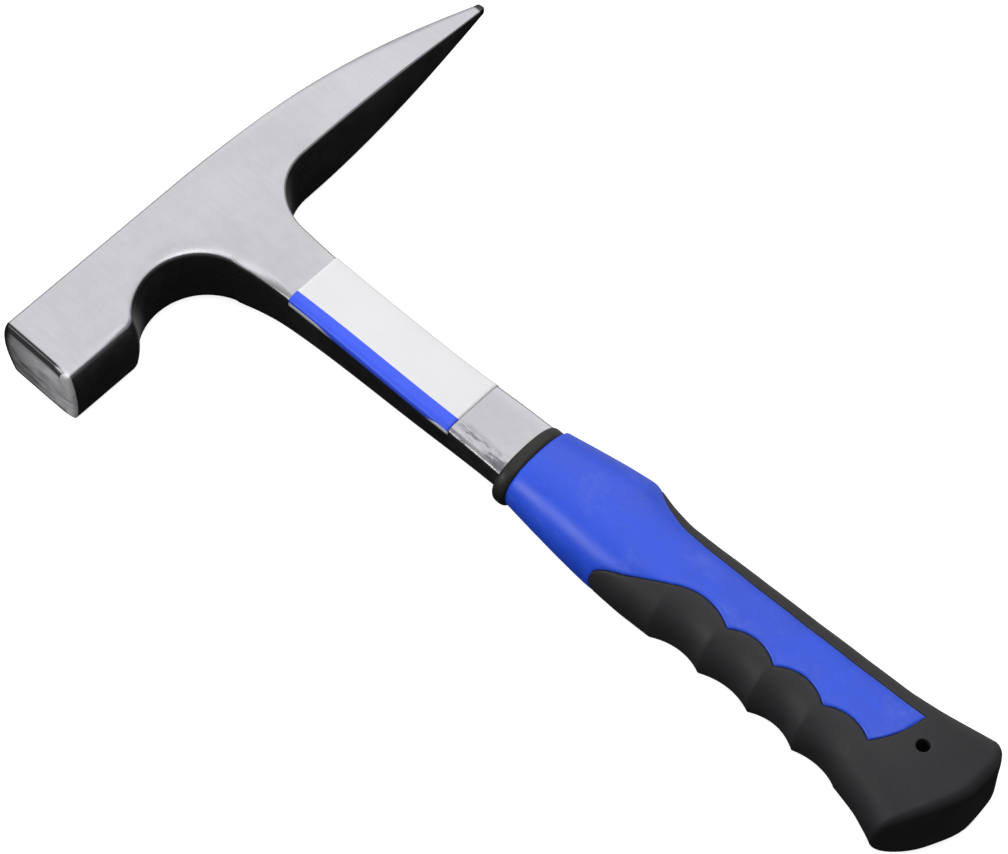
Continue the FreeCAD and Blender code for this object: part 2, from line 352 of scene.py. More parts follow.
def edge_profile(edge, outward, middle, rim, drop, bulge, grow=0.0):
    """Upper half of the skin between a middle line and the middle plane.
    The cheek runs straight from the middle line to the rim. The rim is a quarter of a superellipse,
    rim wide and drop high, flatter than a circle, and the wall under it bows out by bulge
    as a parabola of Z. The whole is grown outwards by grow."""
    cheek_steps, rim_steps, wall_steps = PROFILE_STEPS
    rim, drop, bulge = (np.broadcast_to(v, len(edge))[:, None] for v in (rim, drop, bulge))
    edge = edge + outward * grow
    inner = edge - outward * rim
    s = np.linspace(0, 1, cheek_steps, endpoint=False)[None, :]
    cheek = middle[:, None, :] + (inner - middle)[:, None, :] * s[..., None]
    inward = rim + np.linalg.norm(inner - middle, axis=1)[:, None] * (1 - s)
    cheek_z = cheek_height(cheek[..., 0], cheek[..., 1], inward) + grow
    turn = np.linspace(0, np.pi / 2, rim_steps, endpoint=False)[None, :]
    inward = rim * (1 - np.sin(turn) ** (2 / RIM_POWER))
    fallen = 1 - np.cos(turn) ** (2 / RIM_POWER)
    rim_xy = edge[:, None, :] - outward[:, None, :] * inward[..., None]
    rim_z = cheek_height(rim_xy[..., 0], rim_xy[..., 1], inward) + grow - drop * fallen
    top = (cheek_height(edge[:, 0], edge[:, 1], np.zeros(len(edge)))[:, None] + grow) - drop
    fall = np.linspace(1, 0, wall_steps)[None, :]
    wall_xy = edge[:, None, :] + outward[:, None, :] * (bulge * (1 - fall ** 2))[..., None]
    xy = np.concatenate([cheek, rim_xy, wall_xy], 1)
    z = np.concatenate([cheek_z, rim_z, top * fall], 1)
    return np.concatenate([xy, z[..., None]], 2)


def whole_profile(*args, **options):
    """edge_profile carried on round the far side by its mirror image."""
    upper = edge_profile(*args, **options)
    return np.concatenate([upper, upper[:, -2::-1] * [1, 1, -1]], 1)


def blend_middle(a, b, end, share):
    """Middle line of two outlines, bent by a share so that its end at the head reaches the junction."""
    middle = (a + b) / 2
    return middle + share[:, None] * (np.array(JUNCTION) - middle[end])


def poll_lines(s):
    """Underside, top and middle line of the poll, from the striking face to the bay's end.
    The underside is straight, turns a small corner and follows the bay's arc."""
    centre, radius = circle_through(*BAY)
    corner = np.array(BAY[2])
    before = corner + [0, BAY_CORNER_R]
    start = math.atan2(*(corner - centre)[::-1]) - BAY_CORNER_R / radius
    end = math.atan2(FRONT_SPLIT[1] - centre[1], FRONT_SPLIT[0] - centre[0])
    bay = on_circle(centre, radius, start, end, BAY_ROWS)
    t = np.linspace(0, 1, CORNER_ROWS)[1:-1, None]
    bend = before * (1 - t) ** 2 + corner * 2 * t * (1 - t) + bay[0] * t ** 2
    under_y = np.linspace(FACE_Y - s.face_bevel, before[1], UNDER_ROWS)
    under = np.stack([np.full(UNDER_ROWS, POLL_UNDER_X), under_y], 1)
    front = np.concatenate([under, bend, bay])
    run = np.linspace(before[1], PICK_START_Y, len(bend) + len(bay) + 1)[1:]
    top_y = np.concatenate([under_y, run])
    top = np.stack([np.full(len(top_y), TOP_EDGE_X), top_y], 1)
    share = eased(np.arange(len(top_y)) / (len(top_y) - 1), POLL_BEND, 1)
    return front, top, blend_middle(front, top, -1, share)


def neck_lines():
    """Front, back and middle line of the neck and tang, from the junction to the tang's end.
    At the head the front follows the bay's arc and the back follows the fillet of the pick's root."""
    centre, radius = circle_through(*BAY)
    upper = np.linspace(0, 1, NECK_UPPER_ROWS, endpoint=False)
    down = np.concatenate([upper, 1 + np.linspace(0, 1, NECK_ROWS - NECK_UPPER_ROWS)])
    low = NECK_LEVEL_X + (NECK[0, 0] - NECK_LEVEL_X) * np.maximum(down - 1, 0) ** NECK_SPACING
    front_x, back_x = (
        np.where(down > 1, low, x + (NECK_LEVEL_X - x) * down) for x in (FRONT_SPLIT[0], BACK_SPLIT[0])
    )
    bay_y = centre[1] - np.sqrt(np.maximum(radius ** 2 - (front_x - centre[0]) ** 2, 0))
    front_y = np.where(front_x > BAY[0][0], bay_y, np.minimum(neck_edges(front_x)[1], BAY[0][1]))
    root_y = ROOT_CENTRE[1] + np.sqrt(np.maximum(ROOT_R ** 2 - (back_x - ROOT_CENTRE[0]) ** 2, 0))
    back_y = np.where(back_x > ROOT_CENTRE[0], root_y, neck_edges(back_x)[0])
    front, back = np.stack([front_x, front_y], 1), np.stack([back_x, back_y], 1)
    return front, back, blend_middle(front, back, 0, 1 - fade(np.arange(NECK_ROWS) / NECK_BEND_ROWS))


def pick_lines():
    """Underside, top and middle line of the pick, from the junction to the tip. The underside is the
    root's fillet, then a shallow parabola. The top is one arc."""
    root_x = ROOT_CENTRE[0] + ROOT_R
    start = math.atan2(BACK_SPLIT[1] - ROOT_CENTRE[1], BACK_SPLIT[0] - ROOT_CENTRE[0])
    root = on_circle(ROOT_CENTRE, ROOT_R, start, 0, ROOT_ROWS)
    under_y = np.linspace(ROOT_CENTRE[1], TIP_Y, PICK_ROWS)[1:]
    k = (ROOT_CENTRE[1] - under_y) / (ROOT_CENTRE[1] - TIP_Y)
    under_x = root_x + (TIP_UNDER_X - root_x) * k - UNDER_BOW * 4 * k * (1 - k)
    under = np.concatenate([root, np.stack([under_x, under_y], 1)])
    lead_y = ROOT_CENTRE[1] - TOP_LEAD
    top_y = np.concatenate([
        np.linspace(PICK_START_Y, lead_y, ROOT_ROWS), np.linspace(lead_y, TIP_Y, PICK_ROWS)[1:],
    ])
    arc = arc_through(*PICK_TOP, 400)
    top = np.stack([np.interp(-top_y, -arc[:, 1], arc[:, 0]), top_y], 1)
    return under, top, blend_middle(under, top, 0, 1 - fade(np.arange(len(top_y)) / PICK_BEND_ROWS))


def off_tang(x):
    """Share from 0 on the tang to 1 on the neck."""
    return eased(x, NECK[1, 0], NECK[1, 0] + TANG_EASE)


def front_rims(line, s):
    """Rim width, rim height and wall bow along the front outline: wide and soft under the poll
    and round the bay, narrow at the corner between them, and closing down the neck."""
    x, y = line[:, 0], line[:, 1]
    width, drop, bow = NECK_RIM
    corner = np.exp(-((x - BAY[2][0]) ** 2 + (y - BAY[2][1]) ** 2) / CORNER_SPREAD)
    poll = eased(x, *POLL_RIM_X)
    size = TANG_RIM + (1 - TANG_RIM) * off_tang(x)
    return (
        (width + (s.rim_width - width) * poll * (1 - corner)) * size,
        (drop + (s.rim_drop - drop) * poll) * size,
        bow * off_tang(x) + (s.wall_bulge - bow) * eased(y, *BOW_Y),
    )


def tip_size(line):
    """Share of the rims' full size, which falls towards the pick's tip."""
    return 1 - TIP_SHRINK * eased(line[:, 1], *TIP_SOFT_Y)


def back_rims(line):
    """Narrow rim of the back and of the pick's underside, smaller towards the tip and the tang."""
    size = (TANG_RIM + (1 - TANG_RIM) * off_tang(line[:, 0])) * tip_size(line)
    return tuple(value * size for value in BACK_RIM)


def top_rims(line, s):
    """Rim of the top, wider behind the neck and smaller towards the tip. Its wall bows out by the
    crown, which dies away along the pick."""
    width, drop, bow = TOP_RIM
    y, size = line[:, 1], tip_size(line)
    width = width + TOP_WIDER * eased(y, *TOP_WIDER_Y)
    return width * size, drop * size, s.top_crown * eased(y, *CROWN_Y) + bow


def limb_cap(surface, one, other, direction, length, flat, rings=7, dome=0.0):
    """Closes a limb's end, whose outline is one strip's end and another's. The loop shrinks as a quarter
    circle while it moves out by length, keeps flat of its size, then closes to its middle, domed by dome."""
    loop = np.concatenate([one, other[::-1]])
    centre = (loop.max(0) + loop.min(0)) / 2
    turn = np.linspace(0, np.pi / 2, rings)
    inner = np.linspace(1, 0, 14)[1:]
    scale = np.concatenate([1 - (1 - flat) * (1 - np.cos(turn)), flat * inner])
    push = np.concatenate([length * np.sin(turn), length + dome * (1 - inner ** 2)])
    surface.grid(centre + (loop - centre) * scale[:, None, None] + np.array(direction) * push[:, None, None])


def make_forging(s):
    """Skin of the head, neck and tang in three strips that meet on the middle lines."""
    poll, neck, pick = poll_lines(s), neck_lines(), pick_lines()
    surface = Surface()

    def strip(outline, middle, rims):
        made = whole_profile(outline, in_plane_normals(outline), middle, *rims)
        surface.grid(made)
        return made

    line = np.concatenate([poll[0], neck[0][1:]])
    front = strip(line, np.concatenate([poll[2], neck[2][1:]]), front_rims(line, s))
    line = np.concatenate([neck[1][::-1], pick[0][1:]])
    back = strip(line, np.concatenate([neck[2][::-1], pick[2][1:]]), back_rims(line))
    line = np.concatenate([pick[1][::-1], poll[1][-2::-1]])
    top = strip(line, np.concatenate([pick[2][::-1], poll[2][-2::-1]]), top_rims(line, s))
    flat = 1 - s.face_bevel / FACE_HALF
    limb_cap(surface, front[0], top[-1], (0, 1, 0), s.face_bevel - s.face_dome, flat, dome=s.face_dome)
    limb_cap(surface, back[-1], top[0], (0, -1, 0), NOSE_LENGTH, TIP_FLAT, rings=10)
    limb_cap(surface, front[-1], back[0], (-1, 0, 0), TANG_END, TANG_FLAT)
    return surface.made("forging")


# ---------------------------------------------------------------- grip

def groove(x):
    """Depth of the finger grooves: a parabola between each two ridges."""
    depth = np.zeros_like(x)
    for high, low, deep in zip(RIDGES_X, RIDGES_X[1:], GROOVE_DEPTHS):
        inside = (x > low) & (x < high)
        depth = np.where(inside, deep * 4 * (x - low) * (high - x) / (high - low) ** 2, depth)
    return depth


def grip_extents(x):
    """Centre, half depth and half thickness of the grip's section at x, from the station table
    on straight lines, eased by the mean of nearby stations."""
    back, front, half = (
        sum(w * np.interp(x + d, GRIP[:, 0], GRIP[:, k]) for w, d in zip(EASE_WEIGHTS, EASE_X))
        for k in (1, 2, 3)
    )
    front = front - groove(x)
    return (back + front) / 2, (front - back) / 2, half


def grip_point(x, angle, raised=0.0):
    """Point of the grip's skin: a superellipse across the handle, raised by so much."""
    centre, reach, half = grip_extents(x)
    c, s = np.cos(angle), np.sin(angle)
    y = centre + (reach + raised) * np.sign(c) * np.abs(c) ** (2 / SECTION_POWER)
    z = (half + raised) * np.sign(s) * np.abs(s) ** (2 / SECTION_POWER)
    return np.stack(np.broadcast_arrays(x, y, z), -1)


def grip_angle(x, y):
    """Angle on the upper side at which the grip's section reaches y."""
    centre, reach, _ = grip_extents(x)
    v = np.clip((y - centre) / reach, -1, 1)
    return np.arccos(np.sign(v) * np.abs(v) ** (SECTION_POWER / 2))


def pad_edge(x):
    """Height of the front pad's edge at x: its bow, a parabola for each finger, then the panel's end."""
    bow = np.array(PAD_EDGE)[::-1]
    y = curve_through(bow[:, 0], bow[:, 1], x)
    for (high, a), (low, b), deep in zip(CUSPS, CUSPS[1:], SCALLOP_DEPTHS):
        t = np.clip((high - x) / (high - low), 0, 1)
        y = np.where((x <= high) & (x >= low), a + (b - a) * t - 4 * deep * t * (1 - t), y)
    end = arc_through(*PANEL_END, 60)[::-1]
    return np.where(x < CUSPS[-1][0], np.interp(x, end[:, 0], end[:, 1]), y)


def strip_edge(x):
    """Height of the back strip's edge at x."""
    return curve_through(STRIP_EDGE[:, 0], STRIP_EDGE[:, 1], x)


def grip_stations():
    """Places along the handle where the skin has a row: close together at the panel's end, and one on
    each cusp, ridge and tip."""
    rows = [np.linspace(JOIN_X, CUSPS[-1][0], PANEL_ROWS_X)]
    ends = {PAD_EDGE[0][0], PAD_EDGE[1][0], *STRIP_EDGE[-2:, 0], GRIP_TOP_X}
    marks = sorted({x for x, _ in CUSPS} | set(RIDGES_X) | ends)
    for low, high in zip(marks, marks[1:]):
        rows.append(np.linspace(low, high, max(3, int((high - low) / ROW_PITCH) + 1)))
    return np.unique(np.round(np.concatenate(rows), 5))


def sector_angles(x):
    """Angles of the pad's edge and of the back strip's edge. Past the pad's tip there is no pad,
    and past the strip's tip no strip."""
    pad = np.where(x < PAD_EDGE[0][0], grip_angle(x, pad_edge(x)), 0.0)
    strip = np.where(x < STRIP_EDGE[-1, 0], grip_angle(x, strip_edge(x)), np.pi)
    pad = np.where(x <= JOIN_X, strip, np.minimum(pad, strip))
    return pad, strip


def edge_lines():
    """The parting line between the two mouldings on the upper side, as a dense line of points."""
    x = np.linspace(JOIN_X, STRIP_EDGE[-1, 0], 900)
    panel = np.linspace(JOIN_X, CUSPS[-1][0], 120)
    x = np.unique(np.concatenate([x, panel]))
    pad, strip = sector_angles(x)
    front = x < PAD_EDGE[0][0]
    return np.concatenate([grip_point(x[front], pad[front]), grip_point(x, strip)])


def from_parting(points, lines):
    """Distance of each point to the parting line, on whichever side of the hammer is nearer."""
    flat = (points * [1, 1, 0] + np.abs(points) * [0, 0, 1]).reshape(-1, 3)
    square = (flat ** 2).sum(1)[:, None] + (lines ** 2).sum(1)[None, :] - 2 * flat @ lines.T
    return np.sqrt(np.maximum(square.min(1), 0)).reshape(points.shape[:-1])


def step_up(distance, s):
    """The black stands proud of the parting line by a quarter ellipse, out of a small groove."""
    t = 1 - np.clip(distance / s.step_width, 0, 1)
    groove_depth = s.parting_depth * np.exp(-distance / LINE_WIDTH)
    return s.step_height * np.sqrt(1 - t ** 2) - groove_depth


def step_down(distance, s):
    """The blue rises a little from the same groove."""
    groove_depth = s.parting_depth * np.exp(-distance / LINE_WIDTH)
    return s.body_rise * (1 - np.exp(-distance / BODY_RISE_WIDTH)) - groove_depth


def sector(x, low, high, count, rise, lines, s):
    """Rows of the skin between two angles at each x, raised by what rise says of the parting distance."""
    x = x[:, None]
    angle = low[:, None] + (high - low)[:, None] * np.linspace(0, 1, count)[None, :]
    distance = from_parting(grip_point(x, angle), lines)
    return grip_point(x, angle, rise(distance, s))


def make_grip_body(s):
    """The blue skin from the collar down to the end of its side panels."""
    lines = edge_lines()
    x = grip_stations()
    pad, strip = sector_angles(x)
    surface = Surface()
    surface.mirrored(sector(x, pad, strip, BODY_STEPS, step_down, lines, s))
    return surface.made("blue_body", closed=False)


def butt_rows(angle, s):
    """Rows of the butt's skin from the join down to the end: first along the flared wall, then round
    a quarter circle of the edge radius, then in over the bowed end to its middle."""
    end_x = lambda y: curve_through(BUTT_END[:, 1], BUTT_END[:, 0], y)
    radius = curve_through((0, np.pi / 2, np.pi), BUTT_EDGE_R, angle)
    rows = []
    wall_x = np.full_like(angle, 4.0)
    for _ in range(6):
        wall_x = end_x(grip_point(wall_x, angle, s.step_height)[..., 1]) + radius
    for t in np.linspace(0, 1, WALL_ROWS):
        rows.append(grip_point(JOIN_X + (wall_x - JOIN_X) * t, angle, s.step_height))
    for turn in np.linspace(0, np.pi / 2, EDGE_ROWS)[1:]:
        x = wall_x.copy()
        for _ in range(4):
            ring = grip_point(x, angle, s.step_height - radius * (1 - math.cos(turn)))
            x = end_x(ring[..., 1]) + radius * (1 - math.sin(turn))
        ring[..., 0] = x
        rows.append(ring)
    rim = rows[-1]
    middle = np.array([0.0, (rim[:, 1].max() + rim[:, 1].min()) / 2, 0.0])
    for k in np.linspace(1, 0, END_ROWS)[1:]:
        ring = middle + (rim - middle) * k
        ring[:, 0] = end_x(ring[:, 1]) + s.end_dish * (1 - k ** 2) ** 2
        rows.append(ring)
    return np.array(rows)


def hole_patch(surface, rows, s):
    """Cuts the hang hole into the butt's wall. A block of the grid's quads is left out, and rings run
    from the block's outline to the hole's circle, over a small round edge and down to the middle plane."""
    centre = np.array(HANG_HOLE)
    wall = rows[:WALL_ROWS]
    near = (np.linalg.norm(wall[..., :2] - centre, axis=-1) < HANG_HOLE_R + HOLE_MARGIN) & (wall[..., 2] > 4)
    used_i, used_j = np.where(near.any(1))[0], np.where(near.any(0))[0]
    i0, i1, j0, j1 = used_i[0], used_i[-1], used_j[0], used_j[-1]
    block = wall[i0:i1 + 1, j0:j1 + 1]
    loop = np.concatenate([block[0, :-1], block[:-1, -1], block[-1, :0:-1], block[:0:-1, 0]])
    loop = np.concatenate([loop, loop[:1]])
    spoke = loop[:, :2] - centre
    spoke /= np.linalg.norm(spoke, axis=1, keepdims=True)
    outer = centre + spoke * (HANG_HOLE_R + HOLE_ROUND_R)
    rings = []
    for t in np.linspace(0, 1, 7):
        xy = loop[:, :2] + (outer - loop[:, :2]) * t
        rings.append(np.column_stack([xy, skin_height(xy, s.step_height)]))
    shift = loop[:, 2] - rings[0][:, 2]
    rings = [ring + np.array([0, 0, 1]) * shift[:, None] for ring in rings]
    lip = rings[-1][:, 2]
    for turn in np.linspace(0, np.pi / 2, 5)[1:]:
        xy = centre + spoke * (HANG_HOLE_R + HOLE_ROUND_R * (1 - math.sin(turn)))
        rings.append(np.column_stack([xy, lip - HOLE_ROUND_R * (1 - math.cos(turn))]))
    wall_top = rings[-1][:, 2]
    for t in np.linspace(1, 0, 9)[1:]:
        rings.append(np.column_stack([xy, wall_top * t]))
    surface.mirrored(np.array(rings))
    return i0, i1, j0, j1


def skin_height(xy, raised):
    """Height of the raised skin above the middle plane at a place seen from the side."""
    centre, reach, half = grip_extents(xy[:, 0])
    v = np.abs(xy[:, 1] - centre) / (reach + raised)
    return (half + raised) * (1 - np.minimum(v, 1) ** SECTION_POWER) ** (1 / SECTION_POWER)


def make_overmould(s):
    """The black skin: finger pad, back strip and butt in one."""
    lines = edge_lines()
    x = grip_stations()
    pad, strip = sector_angles(x)
    surface = Surface()
    front = x <= PAD_EDGE[0][0]
    surface.mirrored(sector(x[front], np.zeros(front.sum()), pad[front], PAD_STEPS, step_up, lines, s))
    back = x <= STRIP_EDGE[-1, 0]
    surface.mirrored(sector(x[back], strip[back], np.full(back.sum(), np.pi), STRIP_STEPS, step_up, lines, s))
    angles = np.concatenate([np.linspace(0, pad[0], PAD_STEPS), np.linspace(pad[0], np.pi, STRIP_STEPS)[1:]])
    rows = butt_rows(angles, s)
    # the first rows climb out of the parting groove, as the pad and the strip do beside them
    first = rows[:JOIN_ROWS]
    rows[:JOIN_ROWS] = grip_point(first[..., 0], angles[None, :], step_up(from_parting(first, lines), s))
    i0, i1, j0, j1 = hole_patch(surface, rows, s)
    for part in (rows[:i0 + 1], rows[i1:], rows[i0:i1 + 1, :j0 + 1], rows[i0:i1 + 1, j1:]):
        surface.mirrored(part)
    return surface.made("black_overmould", closed=False)


def make_collar():
    """A ring round the neck. Its section runs up the lower end, over a rounded bead and down the upper
    end, and back inside the steel; its outline blends from the outer oval to the inner one."""
    low, high = COLLAR_X
    turn = np.linspace(0, np.pi, 17)
    c, sn = np.cos(turn), np.sin(turn)
    bead_x = (low + high) / 2 + (high - low) / 2 * -np.sign(c) * np.abs(c) ** BEAD_POWER
    bead_k = BEAD_DEPTH * (1 - np.abs(sn) ** BEAD_POWER)
    x = np.concatenate([[low, low, low], bead_x, [high, high, high], np.linspace(high, low, 5)[1:-1]])
    k = np.concatenate([[1, 0.75, 0.5], bead_k, [0.5, 0.75, 1], [1, 1, 1]])
    outer, inner = np.array(COLLAR_OUTER), np.array(COLLAR_INNER)
    back, front, half = (outer + (inner - outer) * k[:, None]).T[..., None]
    angle = np.linspace(0, 2 * np.pi, 97)
    across, up = (np.sign(v) * np.abs(v) ** (2 / SECTION_POWER) for v in (np.cos(angle), np.sin(angle)))
    y = (back + front) / 2 + (front - back) / 2 * across
    points = np.stack([np.broadcast_to(x[:, None], y.shape), y, half * up], -1)
    surface = Surface()
    surface.grid(np.concatenate([points, points[:1]]))
    return surface.made("collar_ring")


def make_label(film, s):
    """A thin film wrapped over the near cheek, the neck's back and the far cheek. Each row is the neck's
    own profile, with the forging's rims, grown by the film, and carries its distance from the free edge."""
    x = np.linspace(*LABEL_X, LABEL_ROWS)
    back_y, front_y, _ = neck_edges(x)
    front, back = np.stack([x, front_y], 1), np.stack([x, back_y], 1)
    middle = (front + back) / 2
    fore, rear = (
        edge_profile(line, np.tile([0.0, side], (LABEL_ROWS, 1)), middle, *rims, grow=film)
        for line, side, rims in ((front, 1.0, front_rims(front, s)), (back, -1.0, back_rims(back)))
    )
    cheek_steps, rim_steps, _ = PROFILE_STEPS
    near = np.concatenate([fore[:, cheek_steps + rim_steps + LABEL_WALL_STEPS::-1], rear[:, 1:]], 1)
    far = np.concatenate([rear[:, -2:0:-1], fore[:, :cheek_steps + LABEL_RIM_STEPS + 1]], 1) * [1, 1, -1]
    whole = np.concatenate([near, far], 1)
    step = np.linalg.norm(np.diff(whole, axis=1), axis=2)
    run = np.concatenate([np.zeros((len(x), 1)), np.cumsum(step, 1)], 1)
    surface = Surface()
    surface.grid(whole, values=np.minimum(run, run[:, -1:] - run) * MM)
    piece = surface.made("label_film", weld=0.004, attribute="from_edge", closed=False)
    shell(piece, film * 0.8)
    return piece


# ---------------------------------------------------------------- shader groups

def node(tree, kind, **settings):
    """A shader node, set down in rows in the order of making. A setting named in_ and a socket's name
    is that socket's value, and any other is the node's own."""
    made = tree.nodes.new(kind)
    row, column = divmod(len(tree.nodes), 10)
    made.location = (column * 190, row * -300)
    for key, value in settings.items():
        if key.startswith("in_"):
            made.inputs[key[3:].replace("_", " ")].default_value = value
        else:
            setattr(made, key, value)
    return made


def wire(tree, source, target):
    tree.links.new(source, target)


def new_group(name, inputs, outputs):
    """A shader group with its named sockets, and its two end nodes."""
    tree = bpy.data.node_groups.new(name, "ShaderNodeTree")
    for socket, kind, default in inputs:
        made = tree.interface.new_socket(name=socket, in_out="INPUT", socket_type=kind)
        if default is not None:
            made.default_value = default
    for socket, kind in outputs:
        tree.interface.new_socket(name=socket, in_out="OUTPUT", socket_type=kind)
    start = node(tree, "NodeGroupInput")
    end = node(tree, "NodeGroupOutput")
    return tree, start, end


VALUE, VECTOR, COLOUR = "NodeSocketFloat", "NodeSocketVector", "NodeSocketColor"


def maths(tree, operation, a, b, c=0.0, clamp=False):
    """A sum of two or three values, each a number or a socket."""
    made = node(tree, "ShaderNodeMath", operation=operation, use_clamp=clamp)
    for socket, value in zip(made.inputs, (a, b, c)):
        if isinstance(value, (int, float)):
            socket.default_value = value
        else:
            wire(tree, value, socket)
    return made.outputs[0]


def ramp(tree, value, low, high, to_low=0.0, to_high=1.0):
    """Smooth map of a value from one span to another."""
    made = node(tree, "ShaderNodeMapRange", interpolation_type="SMOOTHSTEP")
    for name, number in (("From Min", low), ("From Max", high), ("To Min", to_low), ("To Max", to_high)):
        made.inputs[name].default_value = number
    wire(tree, value, made.inputs["Value"])
    return made.outputs["Result"]


def grain_group(name):
    """Grain: two sizes of noise on stretched coordinates, as a tone round one half and a height."""
    tree, start, end = new_group(
        name,
        [
            ("Vector", VECTOR, None), ("Stretch", VECTOR, (1, 1, 1)),
            ("Coarse", VALUE, 60.0), ("Fine", VALUE, 900.0),
        ],
        [("Tone", VALUE), ("Height", VALUE)],
    )
    scaled = node(tree, "ShaderNodeVectorMath", operation="MULTIPLY")
    wire(tree, start.outputs["Vector"], scaled.inputs[0])
    wire(tree, start.outputs["Stretch"], scaled.inputs[1])
    coarse = node(tree, "ShaderNodeTexNoise", in_Detail=5.0, in_Roughness=0.55)
    fine = node(tree, "ShaderNodeTexNoise", in_Detail=3.0, in_Roughness=0.6)
    for noise, size in ((coarse, "Coarse"), (fine, "Fine")):
        wire(tree, scaled.outputs[0], noise.inputs["Vector"])
        wire(tree, start.outputs[size], noise.inputs["Scale"])
    small = maths(tree, "MULTIPLY", fine.outputs["Fac"], 0.35)
    large = maths(tree, "MULTIPLY", coarse.outputs["Fac"], 0.65)
    wire(tree, maths(tree, "ADD", small, large), end.inputs["Tone"])
    wire(tree, fine.outputs["Fac"], end.inputs["Height"])
    return tree


def speck_group(name):
    """Specks: the middles of scattered cells, only in some of them."""
    tree, start, end = new_group(
        name,
        [("Vector", VECTOR, None), ("Scale", VALUE, 300.0), ("Size", VALUE, 0.12), ("Share", VALUE, 0.3)],
        [("Mask", VALUE)],
    )
    cells = node(tree, "ShaderNodeTexVoronoi")
    wire(tree, start.outputs["Vector"], cells.inputs["Vector"])
    wire(tree, start.outputs["Scale"], cells.inputs["Scale"])
    spot = maths(tree, "LESS_THAN", cells.outputs["Distance"], start.outputs["Size"])
    split = node(tree, "ShaderNodeSeparateColor")
    wire(tree, cells.outputs["Color"], split.inputs["Color"])
    chosen = maths(tree, "LESS_THAN", split.outputs["Red"], start.outputs["Share"])
    wire(tree, maths(tree, "MULTIPLY", spot, chosen), end.inputs["Mask"])
    return tree


def wear_group(name):
    """Rub: where the surface is convex, broken up by noise."""
    tree, start, end = new_group(
        name,
        [("Vector", VECTOR, None), ("Sharpness", VALUE, 0.53), ("Amount", VALUE, 1.0)],
        [("Mask", VALUE)],
    )
    geometry = node(tree, "ShaderNodeNewGeometry")
    above = maths(tree, "SUBTRACT", geometry.outputs["Pointiness"], start.outputs["Sharpness"])
    gain = maths(tree, "MULTIPLY", above, 22.0, clamp=True)
    noise = node(tree, "ShaderNodeTexNoise", in_Scale=420.0, in_Detail=4.0)
    wire(tree, start.outputs["Vector"], noise.inputs["Vector"])
    broken = ramp(tree, noise.outputs["Fac"], 0.38, 0.62, 0.25, 1.0)
    both = maths(tree, "MULTIPLY", gain, broken)
    wire(tree, maths(tree, "MULTIPLY", both, start.outputs["Amount"], clamp=True), end.inputs["Mask"])
    return tree


GROUPS = {
    "grain": ("Moulded grain", grain_group),
    "specks": ("Specks", speck_group),
    "wear": ("Rubbed edges", wear_group),
}


def placed_group(tree, key, vector, **values):
    """A node group built once and placed with its own values."""
    label, make = GROUPS[key]
    made = node(tree, "ShaderNodeGroup", node_tree=bpy.data.node_groups.get(label) or make(label))
    wire(tree, vector, made.inputs["Vector"])
    for name, value in values.items():
        made.inputs[name].default_value = value
    return made


class Finish:
    """A material with one Principled shader, object coordinates and helpers to mix colours."""

    def __init__(self, name, **shader):
        self.material = bpy.data.materials.new(name)
        self.material.use_nodes = True
        self.tree = self.material.node_tree
        self.shader = self.tree.nodes["Principled BSDF"]
        for key, value in shader.items():
            self.shader.inputs[key.replace("_", " ")].default_value = value
        coordinates = node(self.tree, "ShaderNodeTexCoord")
        self.vector = coordinates.outputs["Object"]
        split = node(self.tree, "ShaderNodeSeparateXYZ")
        wire(self.tree, self.vector, split.inputs[0])
        self.x, self.y, self.z = split.outputs

    def group(self, key, **values):
        return placed_group(self.tree, key, self.vector, **values)

    def mix(self, share, a, b):
        made = node(self.tree, "ShaderNodeMix", data_type="RGBA")
        for socket, value in ((made.inputs[0], share), (made.inputs[6], a), (made.inputs[7], b)):
            if isinstance(value, (int, float)):
                socket.default_value = value
            elif isinstance(value, (tuple, list)):
                socket.default_value = (*value[:3], 1.0)
            else:
                wire(self.tree, value, socket)
        return made.outputs[2]

    def over(self, colour, mask, share, top):
        """Lays a second colour over the first where the mask is, up to a share."""
        return self.mix(self.maths("MULTIPLY", mask, share), colour, top)

    def maths(self, *args, **options):
        return maths(self.tree, *args, **options)

    def ramp(self, *args, **options):
        return ramp(self.tree, *args, **options)

    def colour(self, value):
        wire(self.tree, value, self.shader.inputs["Base Color"])

    def roughness(self, value):
        wire(self.tree, value, self.shader.inputs["Roughness"])

    def bump(self, height, distance, strength=1.0):
        made = node(self.tree, "ShaderNodeBump", in_Distance=distance, in_Strength=strength)
        wire(self.tree, height, made.inputs["Height"])
        wire(self.tree, made.outputs["Normal"], self.shader.inputs["Normal"])


def at_x(mm):
    """Object X of a distance along the handle."""
    return mm * MM + ORIGIN[0]


def at_y(mm):
    """Object Y of a distance across the handle."""
    return mm * MM + ORIGIN[1]


def dimmed(colour, share):
    """The colour times a share."""
    return tuple(c * share for c in colour[:3])


def inside(finish, value, low, high, soft):
    """Mask of a value between two bounds, with soft ends."""
    rising = finish.ramp(value, low - soft, low + soft)
    falling = finish.ramp(value, high - soft, high + soft, 1.0, 0.0)
    return finish.maths("MULTIPLY", rising, falling)


